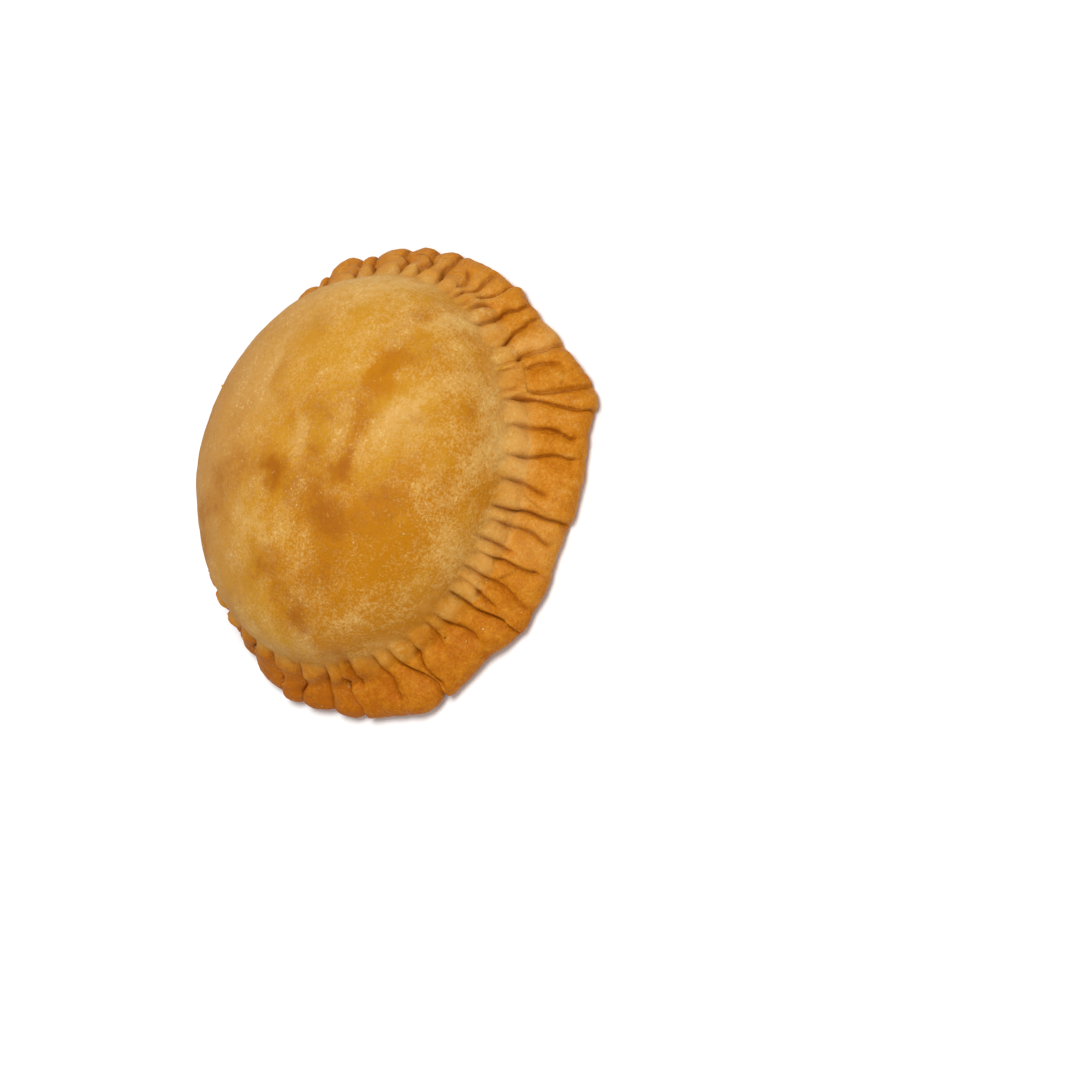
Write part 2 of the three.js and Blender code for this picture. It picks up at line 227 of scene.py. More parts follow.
# The mesh: columns round the rim, closer by the creases, and rows from the lid over the rim and the lip to
# the base. A ring of the dome has fewer columns the smaller it is: (least reach, rim columns for each one).
COLUMN_DEGREES = 0.41
LEAST_COLUMNS = 13
CREASE_CROWDING = 0.05
ROWS_OVER_RIM = 40
RIM_INNER = -0.3
FOOT_BAND = 10 * MM
ROWS_OVER_LIP = 15
BASE_PARTS = (0.5, 1)
BASE_ALONG = 3
DOME_ROWS = 96
DOME_OUTER = 0.925
LIP_START = 60
DOME_COLUMN_STEPS = ((0.55, 2), (0.26, 4), (0.11, 8), (0, 20))

# The pinched ridges and the creases between them. Shares are of the way over the rim.
RIDGE_ROUNDNESS = 2.2
RIDGE_RISE = 0.1
RIDGE_START = 0.05
ROUND_END = 0.1
FULL_PINCH_DEGREES = 5
LIP_SCALLOP = 0.8
LIP_FADE = (0.8, 1.3)
UNDERSIDE_FADE = (1.5, 2)
CREASE_WIDTH = 0.3 * MM
LINE_SHARPNESS = 1.5
FOOT_LINE_DEPTH = 0.3 * MM
FOOT_LINE_SHARE = 0.05
PIT_DEPTH = 0.45 * MM
PIT_WIDTH = 0.9 * MM
PIT_SHARE = 0.13
PIT_PAST_START = 0.06
LAST_PIT = 0.2

# A tuck's step and its line, and the metres for each degree round and for the whole way over the rim.
TUCK_STEP = 0.45 * MM
TUCK_FADE = 1.5 * MM
TUCK_LINE = 0.3 * MM
TUCK_SCALE = (0.9 * MM, 11 * MM)
# How much painted shade a tuck's line gets.
TUCK_PAINTED_SHADE = 0.3
LEAST_AWAY, FAR_AWAY = 0.01 * MM, 1.0
TUCKS_FADE_IN = (-0.3, -0.1)

# Unevenness of the dough and of its bake, in layers of height or width, wavelength and seed, in millimetres.
SOFT_LUMPS = ((0.34, 17, 1), (0.18, 6, 2))
FINE_GRAIN = ((0.08, 2.2, 3), (0.04, 1.3, 4))
RIM_DOUGH = ((0.42, 4.4, 5), (0.14, 1.8, 6), (0.06, 0.9, 8))
LUMPS_ON_RIM = 0.4
RIM_DOUGH_FROM = (-0.25, 0.15)
MARK_WARPS = (((2.2, 5, 11), (0.8, 1.6, 12)), ((2.2, 5, 13), (0.8, 1.6, 14)))
RAGGED_EDGE = ((0.22, 6, 21), (0.16, 2.2, 22))
FAR_SHEEN_EDGE = ((4, 9, 23),)
NOISE_SHIFT = 17.31

# Where baking changes over the crust: shares of the way over the rim, with how much more there is. The
# browning of the rim's valleys is painted shade.
LID_MARKS_END = (0, 0.5)
RIM_MARKS_START = (-0.2, 0.3)
MARK_TURN = 2
RIM_COLOUR_FROM = (-0.34, 0.2)
# Painted shade: how much browner the valleys between the rim's ridges are made.
VALLEY_PAINTED_SHADE = 0.16
LIP_BROWN = (0.12, 0.9, 1.5)
BASE_BROWN = (0.3, 1.7, 2.2)
FOOT_AMBER = (0.55, -0.7, -0.3)
NEAR_SIDE = (-10 * MM, 20 * MM)
# Painted sheen: the y in millimetres over which the far side takes the dull tan.
FAR_SHEEN_SIDE = (4, 40)

# What the mesh tells the crust's material at each point: 'crease' is painted shade on the crease and tuck
# lines, 'dull' a painted sheen on the far side, and 'brown' mixes real browning with painted shade on the
# rim.
BAKE_ATTRIBUTES = ("brown", "amber", "flour", "rim", "crease", "dull")

# The patterns in the crust's colour: wavelength in millimetres, detail and roughness.
PATTERNS = {
    "blotches": (18, 2, 0.5),
    "mottles": (1.8, 3, 0.6),
    "grain": (0.65, 3, 0.7),
    "toasting": (7, 3, 0.6),
    "flecks": (0.9, 3, 0.65),
    "pits": (1.0, 2, 0.5),
    "blisters": (0.5, 3, 0.6),
}
STREAKED_PATTERNS = {
    "clouds": (7, 3, 0.5),
    "grease": (9, 4, 0.55),
}
STREAK_TURN = -22
STREAK_STRETCH = (1.5, 1, 1)

# How much of each pattern goes into a finish, and between which sums the finish comes in.
GREASE, GREASE_RANGE = {"grease": 2.2, "mottles": 0.8}, (1.3, 2.3)
FILM, FILM_RANGE = {"clouds": 1.7, "mottles": 1.2, "grain": 2.4}, (2.27, 3.15)
BROWNING, BROWNING_RANGE = {"blotches": 1.0, "mottles": 0.5}, (0.7, 1.3)
TOASTING, TOASTING_FROM = {"toasting": 0.7, "mottles": 0.8, "grain": 0.9}, 0.7
TOASTING_STOPS = (0.2, 0.5, 0.9)
# Painted sheen: how far the far side is mixed toward the dull tan.
FAR_SHEEN_STRENGTH = 0.75
DUSTING, DUSTING_RANGE = 0.5, (0.3, 0.7)
PITTING, PITTING_RANGE = 0.3, (0.63, 0.74)
# Painted shade: how far the crease and tuck lines are darkened toward the crease shade colour.
CREASE_PAINTED_SHADE = 0.44

# Specks of flour: their spacing and how far they are shifted, then sizes, soft edge and strength.
SPECK_SPACING = 1.2 * MM
SPECK_WARP, SPECK_WARP_SIZE = 1.3 * MM, 0.7 * MM
SPECK_SIZES = (0.5, -0.16)
SPECK_EDGE = (-0.06, 0.08)
SPECK_STRENGTH = (0.25, 0.1)
THICK_CLOUDS = (0.4, 0.6)
FLECKS, FLECKS_IN_FLOUR, FLECK_RANGE = {"clouds": 0.6}, 0.15, (0.94, 1.02)
FLECK_STRENGTH = 0.55
SPECKS_LOST_ON_RIM = -0.6

# The crust's gloss, its glow and its finest bumps.
DRY_ROUGHNESS, GREASE_SHINE, GRAIN_ROUGHNESS = 0.62, -0.2, 0.12
CRUST_SPECULAR, TABLE_SPECULAR = 0.08, 0.1
GLOW, GLOW_COLOURS, GLOW_DEPTH = 0.1, (1.0, 0.45, 0.15), 1.5 * MM
BLISTER_SIZE, BLISTER_DEPTH = 1.0 * MM, -0.5
BUMP_STRENGTH, BUMP_HEIGHT = 0.8, 0.24 * MM

# Crumbs and finer grains: how many, their widths as shares of the largest, how they sit, and their finish.
CRUMB_SEED = 7
CRUMB_COUNT = 26
GRAIN_COUNT = 150
CRUMB_WIDTHS = (0.4, 1.0)
GRAIN_WIDTHS = (0.25, 0.42)
STEEPEST_CRUMB = 0.35
CRUMB_LIFT = 0.12
CRUMB_STRETCH = (0.6, 1.25)
CRUMB_KNOBS = (0.78, 1.15)
CRUMB_TONES, CRUMB_STOPS = (2.5 * MM, 2, 0.5), (0.3, 0.7)
CRUMB_ROUGHNESS = 0.8
CRUMB_BUMPS, CRUMB_BUMP_STRENGTH, CRUMB_BUMP_HEIGHT = (0.3 * MM, 2, 0.5), 0.4, 0.06 * MM

# A crumb starts as a solid of twenty triangles.
GOLDEN_RATIO = (1 + math.sqrt(5)) / 2
LUMP_CORNERS = np.array([
    (-1, GOLDEN_RATIO, 0), (1, GOLDEN_RATIO, 0), (-1, -GOLDEN_RATIO, 0), (1, -GOLDEN_RATIO, 0),
    (0, -1, GOLDEN_RATIO), (0, 1, GOLDEN_RATIO), (0, -1, -GOLDEN_RATIO), (0, 1, -GOLDEN_RATIO),
    (GOLDEN_RATIO, 0, -1), (GOLDEN_RATIO, 0, 1), (-GOLDEN_RATIO, 0, -1), (-GOLDEN_RATIO, 0, 1),
]) / math.hypot(1, GOLDEN_RATIO)
LUMP_FACES = (
    (0, 11, 5), (0, 5, 1), (0, 1, 7), (0, 7, 10), (0, 10, 11), (1, 5, 9), (5, 11, 4), (11, 10, 2),
    (10, 7, 6), (7, 1, 8), (3, 9, 4), (3, 4, 2), (3, 2, 6), (3, 6, 8), (3, 8, 9), (4, 9, 5),
    (2, 4, 11), (6, 2, 10), (8, 6, 7), (9, 8, 1),
)

# The camera: its tilt from straight above and its roll in degrees, the point it is set by, where that point
# lies in the picture in pixels, and how many pixels there are to a metre.
CAMERA_TILT = 33
CAMERA_ROLL = 71
CAMERA_TARGET = (0.39 * MM, -1.04 * MM, 15 * MM)
TARGET_IN_PICTURE = (367, 473)
PICTURE_SIZE = 1080
PICTURE_SCALE = 3.97 / MM
SENSOR_WIDTH = 36
NEAREST_SEEN = 0.01

# The table and the lamps, in metres, and the table's faint unevenness of gloss.
TABLE_HALF_SIZE = 1.5
TABLE_GRAIN, TABLE_ROUGHNESS = (40 * MM, 2, 0.5), (0.1, 0.75)
KEY_PLACE, KEY_SIZE = (0.22, -0.1, 1.0), 0.55
FILL_PLACE, FILL_SIZE = (-0.5, -0.7, 0.6), 0.8


# ---------------------------------------------------------------- sizes and colours that a user can change

def length(name, description, default):
    return bpy.props.FloatProperty(
        name=name, description=description, default=default, min=0.0, unit="LENGTH")


def colour(name, description, default):
    """A colour property. Its default is given as the colour looks on a screen, from 0 to 255."""
    return bpy.props.FloatVectorProperty(
        name=name,
        description=description,
        subtype="COLOR",
        size=3,
        min=0.0,
        max=1.0,
        default=tuple(to_linear(part / 255) for part in default),
    )


def to_linear(value):
    return value / 12.92 if value <= 0.04045 else ((value + 0.055) / 1.055) ** 2.4


class HandPieSizes(bpy.types.PropertyGroup):
    """The driving sizes of the pie, the same as the solid's."""

    rim_half_length: length("Rim half length", "From the middle to the rim's edge along X", 58.9 * MM)
    rim_half_width: length("Rim half width", "From the middle to the rim's edge along Y", 54.5 * MM)
    lip_middle: length("Lip middle", "Height of the lip's outermost line", 3 * MM)
    lip_reach: length("Lip reach", "How far the rounded lip stands out", 3.6 * MM)
    lip_rise: length("Lip rise", "Height of the lip above its middle", 2.6 * MM)
    lip_drop: length("Lip drop", "Depth of the lip below its middle", 2.3 * MM)
    base_inset: length("Base inset", "From the rim's edge in to the flat base", 9 * MM)
    dome_half_length: length("Dome half length", "Half of the dome's foot along X", 51.9 * MM)
    dome_half_width: length("Dome half width", "Half of the dome's foot along Y", 44.4 * MM)
    dome_shift: length("Dome shift", "How far the dome lies off centre along Y", 4.2 * MM)
    foot_height: length("Foot height", "Height of the dome's foot", 9.2 * MM)
    foot_fillet: length("Foot fillet", "How softly the dome runs into the rim", 5 * MM)
    dome_height: length("Dome height", "Height of the lid's top", 40.5 * MM)
    ridge_height: length("Ridge height", "Height of the pinched ridges", 1.7 * MM)
    crease_scale: bpy.props.FloatProperty(
        name="Crease depth", description="How deep the creases are, 1 for as deep as the solid's",
        default=0.45, min=0.0, subtype="FACTOR")
    crumb_size: length("Crumb size", "Width of the largest crumbs", 0.9 * MM)


class HandPieColours(bpy.types.PropertyGroup):
    """The colours of the baked crust, as they look in even light."""

    pale: colour("Pale", "Floury, least baked parts of the lid", (205, 154, 76))
    golden: colour("Golden", "Most of the lid", (194, 136, 31))
    amber: colour("Amber", "Greasy, well baked parts", (184, 116, 6))
    brown: colour("Brown", "Browned parts", (160, 92, 14))
    # Painted sheen: the dull tan that the far side, seen at a grazing angle, is mixed toward.
    dull: colour("Painted far sheen", "The lid's far side, dry and dull", (188, 136, 74))
    # Painted shade: the colour that the crease and tuck lines are darkened toward.
    painted_crease_shade: colour("Painted crease shade", "Darkest marks and crease bottoms", (122, 54, 4))
    rim: colour("Rim", "The pinched rim", (194, 122, 24))
    rim_brown: colour("Brown rim", "The best baked parts of the rim", (170, 92, 3))
    rim_pale: colour("Pale rim", "The least baked parts of the rim", (206, 146, 66))
    flour: colour("Flour", "Dry flour baked on", (220, 182, 112))


class HandPieStudio(bpy.types.PropertyGroup):
    """The table, the lamps and the camera."""

    table_colour: colour("Table", "The plain pale table", (250, 250, 250))
    key_power: bpy.props.FloatProperty(
        name="Key light", description="Power of the large lamp above", default=8.9, min=0.0, unit="POWER")
    fill_power: bpy.props.FloatProperty(
        name="Fill light", description="Power of the lamp on the near side",
        default=1.5, min=0.0, unit="POWER")
    sky_strength: bpy.props.FloatProperty(
        name="Sky", description="Strength of the even light from all round", default=0.38, min=0.0)
    lens: bpy.props.FloatProperty(
        name="Lens", description="Focal length of the camera in millimetres", default=200.0, min=10.0)


# ---------------------------------------------------------------- the form of the crust

def uneven(seed):
    """A repeatable number from -1 to 1 for a whole number, as the solid draws them."""
    wave = math.sin(seed * 12.9898 + 4.1414) * 43758.5453
    return 2 * (wave - math.floor(wave)) - 1


def smooth_step(value, low, high):
    part = np.clip((value - low) / (high - low), 0, 1)
    return part * part * (3 - 2 * part)


def rim_radius(angle, sizes):
    """The distance from the middle to the rim's outer edge, for directions in degrees."""
    turn = np.radians(angle)
    radius = 1 / np.hypot(np.cos(turn) / sizes.rim_half_length, np.sin(turn) / sizes.rim_half_width)
    for at, out, clockwise, anticlockwise in RIM_WAVES:
        away = (angle - at + 180) % 360 - 180
        fade = np.where(away < 0, clockwise, anticlockwise)
        radius = radius + out * MM * np.exp(-((away / fade) ** 2))
    return radius


def foot_radius(angle, sizes):
    """The distance from the middle to the dome's foot, an oval that lies off centre."""
    along = np.cos(np.radians(angle)) / sizes.dome_half_length
    across = np.sin(np.radians(angle)) / sizes.dome_half_width
    shift = sizes.dome_shift / sizes.dome_half_width
    square = along**2 + across**2
    return (across * shift + np.sqrt((across * shift) ** 2 + square * (1 - shift**2))) / square


def dome_height(x, y, sizes):
    """The lid's height. Its wall goes on falling beyond the foot, so that the rim takes over."""
    share = FOOT_SPREAD * np.hypot(x / sizes.dome_half_length, (y - sizes.dome_shift) / sizes.dome_half_width)
    on_lid = np.minimum(share, WALL_FROM)
    left = 1 - on_lid**DOME_FULLNESS
    slope = on_lid ** (DOME_FULLNESS - 1) * left ** (1 / DOME_FULLNESS - 1)
    rise = left ** (1 / DOME_FULLNESS) - slope * (share - on_lid)
    lumps = np.zeros_like(x)
    for lump_x, lump_y, radius, height in LUMPS:
        near = np.hypot(x / MM - lump_x, y / MM - lump_y) / radius
        lumps += height * MM * np.exp(-(near**2))
    return sizes.foot_height + (sizes.dome_height - sizes.foot_height + lumps) * rise


def blended_height(first, second, fillet):
    """The higher of two heights, with a fillet where they cross."""
    in_fillet = np.maximum(0, fillet - np.abs(first - second))
    return np.maximum(first, second) + in_fillet**2 / (4 * fillet)


class Creases:
    """The creases round the rim, anticlockwise from the first, as arrays."""

    def __init__(self, sizes):
        steps = np.arange(FAR_COUNT)
        share = steps / (FAR_COUNT - 1)
        strays = np.array([uneven(step) for step in steps])
        at = FAR_FROM + (FAR_TO - FAR_FROM) * share + FAR_UNEVENNESS * strays
        lean = FAR_LEAN[0] + (FAR_LEAN[1] - FAR_LEAN[0]) * share
        far = [
            (at[step], lean[step], *(FAR_DEEP if step % FAR_DEEP_EVERY == FAR_DEEP_EVERY - 1 else FAR_PLAIN))
            for step in steps
        ]
        table = np.array([*NEAR_CREASES, *far])
        self.count = len(table)
        self.at, self.lean, self.start, self.end = table[:, 0], table[:, 1], table[:, 2], table[:, 3]
        self.depth = table[:, 4] * sizes.crease_scale * MM
        numbers = range(self.count)
        heights = np.array([uneven(number + HEIGHT_SEED) for number in numbers])
        self.ridge = sizes.ridge_height * (1 + HEIGHT_UNEVENNESS * heights)
        self.phase = np.array([0.5 + 0.5 * uneven(number + PHASE_SEED) for number in numbers])
        skews = np.array([uneven(number + SKEW_SEED) for number in numbers])
        self.skew = RIDGE_SKEW + SKEW_UNEVENNESS * skews

    def direction(self, number, along):
        """Where a crease runs, in degrees, at a share of the way over the rim."""
        leaning = np.clip(along, 0, 1)
        wander = CREASE_WANDER * np.sin(2 * np.pi * (WANDER_TURNS * leaning + self.phase[number]))
        at_foot = CREASE_WANDER * np.sin(2 * np.pi * self.phase[number])
        wandered = (wander - at_foot) * smooth_step(leaning, 0, WANDER_SETTLED)
        return self.at[number] + self.lean[number] * leaning + wandered

    def column(self, number, share, along):
        """The direction of a column that lies a share of the way from one crease to the next."""
        start = self.direction(number, along)
        span = (self.direction((number + 1) % self.count, along) - start) % 360
        return start + span * share, span

    def openness(self, number, along):
        """How far open a crease is at a place over the rim, from 0 to 1."""
        opened = smooth_step(along, self.start[number] - CREASE_FADE, self.start[number] + CREASE_FADE)
        closed = smooth_step(along, self.end[number] - CREASE_FADE, self.end[number] + CREASE_FADE)
        return opened * (1 - closed)


def pinch_columns(creases):
    """For every column of the rim: its crease's number and its share of the way to the next one."""
    numbers, shares = [], []
    for number in range(creases.count):
        span = (creases.at[(number + 1) % creases.count] - creases.at[number]) % 360
        steps = max(LEAST_COLUMNS, round(span / COLUMN_DEGREES))
        for step in range(steps):
            even = step / steps
            numbers.append(number)
            shares.append(even - CREASE_CROWDING * math.sin(2 * math.pi * even))
    return np.array(numbers), np.array(shares)


class Surface:
    """Rings of points from the top of the lid to the edge of the base, with what each point needs."""

    def __init__(self):
        self.rings = []

    def add_ring(self, turns, angle, radius, height, along, pinch, share):
        size = len(turns)
        spread = np.broadcast_to
        self.rings.append({
            "turns": turns,
            "angle": spread(angle, size),
            "radius": spread(radius, size),
            "height": spread(height, size),
            "along": spread(along, size),
            "pinch": spread(pinch, size),
            "share": spread(share, size),
        })

    def gather(self, name):
        return np.concatenate([ring[name] for ring in self.rings])


def add_dome_rings(surface, creases, sizes, rim_columns):
    tilt_limit = math.asin(DOME_OUTER)
    for row in range(1, DOME_ROWS + 1):
        reach = math.sin(tilt_limit * row / DOME_ROWS)
        thinning = next(step for least, step in DOME_COLUMN_STEPS if reach >= least)
        columns = rim_columns // thinning
        turns = np.arange(columns) * 360 / columns
        angle = creases.at[0] + turns
        radius = foot_radius(angle, sizes) * reach
        x, y = radius * np.cos(np.radians(angle)), radius * np.sin(np.radians(angle))
        surface.add_ring(turns, angle, radius, dome_height(x, y, sizes), RIM_INNER - 1 + reach, 0, 0.5)


def add_rim_rings(surface, creases, sizes, pinch, share):
    turns = (creases.column(pinch, share, 0)[0] - creases.at[0]) % 360
    lip_in = sizes.lip_reach * (1 - math.cos(math.radians(LIP_START)))
    lip_top = sizes.lip_middle + sizes.lip_rise * math.sin(math.radians(LIP_START))
    for along in np.linspace(RIM_INNER, 1, ROWS_OVER_RIM):
        angle, _ = creases.column(pinch, share, along)
        foot = foot_radius(angle, sizes)
        outer = rim_radius(angle, sizes) - lip_in
        radius = foot + np.where(along < 0, FOOT_BAND, outer - foot) * along
        face = sizes.foot_height + (lip_top - sizes.foot_height) * along
        x, y = radius * np.cos(np.radians(angle)), radius * np.sin(np.radians(angle))
        height = blended_height(dome_height(x, y, sizes), face, sizes.foot_fillet)
        surface.add_ring(turns, angle, radius, height, along, pinch, share)
    return turns


def add_lip_rings(surface, creases, sizes, pinch, share, turns):
    angle, _ = creases.column(pinch, share, 1)
    edge = rim_radius(angle, sizes)
    for row in range(1, ROWS_OVER_LIP + 1):
        tilt = math.radians(LIP_START - (90 + LIP_START) * row / ROWS_OVER_LIP)
        radius = edge - sizes.lip_reach * (1 - math.cos(tilt))
        rise = sizes.lip_rise if tilt > 0 else sizes.lip_drop
        height = sizes.lip_middle + rise * math.sin(tilt)
        surface.add_ring(turns, angle, radius, height, 1 + row / ROWS_OVER_LIP, pinch, share)
    for part in BASE_PARTS:
        inset = sizes.lip_reach + (sizes.base_inset - sizes.lip_reach) * part
        height = (sizes.lip_middle - sizes.lip_drop) * (1 - part) ** 2
        surface.add_ring(turns, angle, edge - inset, height, BASE_ALONG, pinch, share)


def stitch(inner, outer, inner_start, outer_start, faces):
    """Fills the band between two rings, however many points each has."""
    inner_count, outer_count = len(inner), len(outer)
    if inner_count == outer_count:
        for step in range(inner_count):
            after = (step + 1) % inner_count
            faces.append((inner_start + step, outer_start + step, outer_start + after, inner_start + after))
        return
    inner_turns, outer_turns = [*inner, 360], [*outer, 360]
    on_inner = on_outer = 0
    while on_inner < inner_count or on_outer < outer_count:
        inner_here = inner_start + on_inner % inner_count
        outer_here = outer_start + on_outer % outer_count
        outer_is_next = on_outer < outer_count and (
            on_inner == inner_count or outer_turns[on_outer + 1] <= inner_turns[on_inner + 1])
        if outer_is_next:
            faces.append((inner_here, outer_here, outer_start + (on_outer + 1) % outer_count))
            on_outer += 1
        else:
            faces.append((inner_here, outer_here, inner_start + (on_inner + 1) % inner_count))
            on_inner += 1


def crust_faces(rings, top, bottom):
    faces = []
    start = 0
    first, last = len(rings[0]["turns"]), len(rings[-1]["turns"])
    faces.extend((top, step, (step + 1) % first) for step in range(first))
    for inner, outer in zip(rings, rings[1:]):
        after = start + len(inner["turns"])
        stitch(inner["turns"], outer["turns"], start, after, faces)
        start = after
    faces.extend((bottom, start + (step + 1) % last, start + step) for step in range(last))
    return faces


# ---------------------------------------------------------------- relief, bake marks and painted shade

def noise_at(points, wavelength, seed):
    """Smooth noise from about -1 to 1 at each point, with lumps about a wavelength apart."""
    places = points / wavelength + seed * NOISE_SHIFT
    return np.array([noise.noise(Vector(place)) for place in places])


def layered_noise(points, layers):
    """Noise at each point in layers of a height, a wavelength in millimetres and a seed."""
    return sum(height * noise_at(points, wavelength * MM, seed) for height, wavelength, seed in layers)


def pinch_relief(creases, pinch, share, along, radius):
    """How far the rim's ridges and creases stand out, how much painted shade a crease's line gets and how
    near a valley is.
    """
    _, span = creases.column(pinch, share, along)
    width = np.radians(span) * radius
    after = (pinch + 1) % creases.count
    across = np.abs(2 * share ** creases.skew[pinch] - 1)
    open_here, open_after = creases.openness(pinch, along), creases.openness(after, along)
    valley = np.where(share < 0.5, open_here, open_after) * across**RIDGE_ROUNDNESS
    inward = along - RIDGE_START + ROUND_END * (1 - across**2)
    risen = smooth_step(inward, -RIDGE_RISE, RIDGE_RISE)
    foot_line = np.exp(-(((inward + RIDGE_RISE) / FOOT_LINE_SHARE) ** 2))
    full = 1 - (1 - np.minimum(1, span / FULL_PINCH_DEGREES)) * open_here * open_after
    height = (creases.ridge[pinch] * (1 - share) + creases.ridge[after] * share) * full
    groove, dark = np.zeros_like(along), np.zeros_like(along)
    for number, opened, away in ((pinch, open_here, share * width), (after, open_after, (1 - share) * width)):
        depth = creases.depth[number]
        line = np.exp(-((away / CREASE_WIDTH) ** LINE_SHARPNESS)) * opened
        past = along - creases.start[number] - PIT_PAST_START
        pit = np.exp(-((away / PIT_WIDTH) ** 2) - (past / PIT_SHARE) ** 2)
        pit *= opened * (creases.start[number] < LAST_PIT)
        groove = np.maximum(groove, depth * line + PIT_DEPTH * pit)
        # Painted shade along each crease line, darker for deeper creases.
        dark = np.maximum(dark, np.sqrt(depth / creases.depth.max()) * line)
    groove += FOOT_LINE_DEPTH * foot_line
    on_lip = smooth_step(along, *LIP_FADE)
    strength = (1 - (1 - LIP_SCALLOP) * on_lip) * (1 - smooth_step(along, *UNDERSIDE_FADE))
    return (risen * height * (1 - valley) - groove) * strength, dark, risen * valley


def tuck_folds(angle, along):
    """How near each point of the rim is to a cross tuck, from 0 to 1, and its step up or down there."""
    places = np.stack((angle * TUCK_SCALE[0], along * TUCK_SCALE[1]), axis=1)
    nearest = np.full(len(places), FAR_AWAY)
    side = np.zeros(len(places))
    for tuck in TUCKS:
        for first, second in zip(tuck, tuck[1:]):
            start = np.array(first) * TUCK_SCALE
            way = np.array(second) * TUCK_SCALE - start
            offset = places - start
            wrapped = (offset[:, 0] / TUCK_SCALE[0] + 180) % 360 - 180
            offset = np.stack((wrapped * TUCK_SCALE[0], offset[:, 1]), axis=1)
            part = np.clip(offset @ way / (way @ way), 0, 1)
            away = np.maximum(np.linalg.norm(offset - part[:, None] * way, axis=1), LEAST_AWAY)
            beside = (way[0] * offset[:, 1] - way[1] * offset[:, 0]) / np.linalg.norm(way)
            side = np.where(away < nearest, beside / away, side)
            nearest = np.minimum(nearest, away)
    return np.exp(-((nearest / TUCK_LINE) ** LINE_SHARPNESS)), TUCK_STEP * side * np.exp(-nearest / TUCK_FADE)


def crust_relief(creases, surface, points):
    """The height of all relief over the plain form, how much painted shade its crease and tuck lines get, and
    how near its valleys are.
    """
    angle, along = surface.gather("angle"), surface.gather("along")
    pinch, share = surface.gather("pinch").astype(int), surface.gather("share")
    pinched, dark, valley = pinch_relief(creases, pinch, share, along, surface.gather("radius"))
    on_rim = smooth_step(along, *RIM_DOUGH_FROM)
    on_top = 1 - smooth_step(along, *UNDERSIDE_FADE)
    tuck, folded = tuck_folds(angle, along)
    tuck_share = smooth_step(along, *TUCKS_FADE_IN) * on_top
    lumps = layered_noise(points, SOFT_LUMPS)
    grain = layered_noise(points, FINE_GRAIN)
    dough = layered_noise(points, RIM_DOUGH)
    soft = (lumps + grain) * (1 - on_rim) + (LUMPS_ON_RIM * lumps + dough + grain) * on_rim
    relief = pinched + folded * tuck_share + soft * MM * on_top
    return relief, np.maximum(dark, TUCK_PAINTED_SHADE * tuck * tuck_share), valley


def mark_strength(points, mark, warp):
    x, y, half_length, half_width, turn, *_ = mark
    away_x = points[:, 0] / MM - x + warp[0]
    away_y = points[:, 1] / MM - y + warp[1]
    cosine, sine = math.cos(math.radians(turn)), math.sin(math.radians(turn))
    along = (away_x * cosine + away_y * sine) / half_length
    across = (away_y * cosine - away_x * sine) / half_width
    return np.exp(-(along**2 + across**2))


def mark_bake(points, along):
    """How much browner, more amber and more floury the marks make each point; the golden mark on the lid's
    near side is painted light, and the rim's lower end and near side get painted shade.
    """
    brown = np.zeros(len(points))
    amber = np.zeros(len(points))
    flour = np.zeros(len(points))
    warp = [layered_noise(points, layers) for layers in MARK_WARPS]
    on_lid = 1 - smooth_step(along, *LID_MARKS_END)
    for mark in BAKE_MARKS.values():
        strength = mark_strength(points, mark, warp) * on_lid
        brown += mark[5] * strength
        amber += mark[6] * strength
        flour += mark[7] * strength
    direction = np.degrees(np.arctan2(points[:, 1], points[:, 0])) + MARK_TURN * warp[0]
    for at, half_width, browner, floury in RIM_MARKS.values():
        away = (direction - at + 180) % 360 - 180
        strength = np.exp(-((away / half_width) ** 2)) * smooth_step(along, *RIM_MARKS_START)
        brown += browner * strength
        flour += floury * strength
    return brown, amber, flour


def bake_attributes(points, along, crease, valley):
    """What the crust's material needs at each point, by name."""
    brown, amber, flour = mark_bake(points, along)
    rim = smooth_step(along + layered_noise(points, RAGGED_EDGE), *RIM_COLOUR_FROM)
    # Painted shade: the valleys between the rim's ridges are browned.
    brown += VALLEY_PAINTED_SHADE * valley
    for browner, start, end in (LIP_BROWN, BASE_BROWN):
        brown += browner * smooth_step(along, start, end)
    greasier, start, end = FOOT_AMBER
    amber += greasier * smooth_step(along, start, end) * smooth_step(-points[:, 1], *NEAR_SIDE)
    # Painted sheen: the far side of the lid, seen at a grazing angle, is marked for the dull tan.
    dull = smooth_step(points[:, 1] / MM + layered_noise(points, FAR_SHEEN_EDGE), *FAR_SHEEN_SIDE) * (1 - rim)
    return {"brown": brown, "amber": amber, "flour": flour, "rim": rim, "crease": crease, "dull": dull}


# ---------------------------------------------------------------- materials

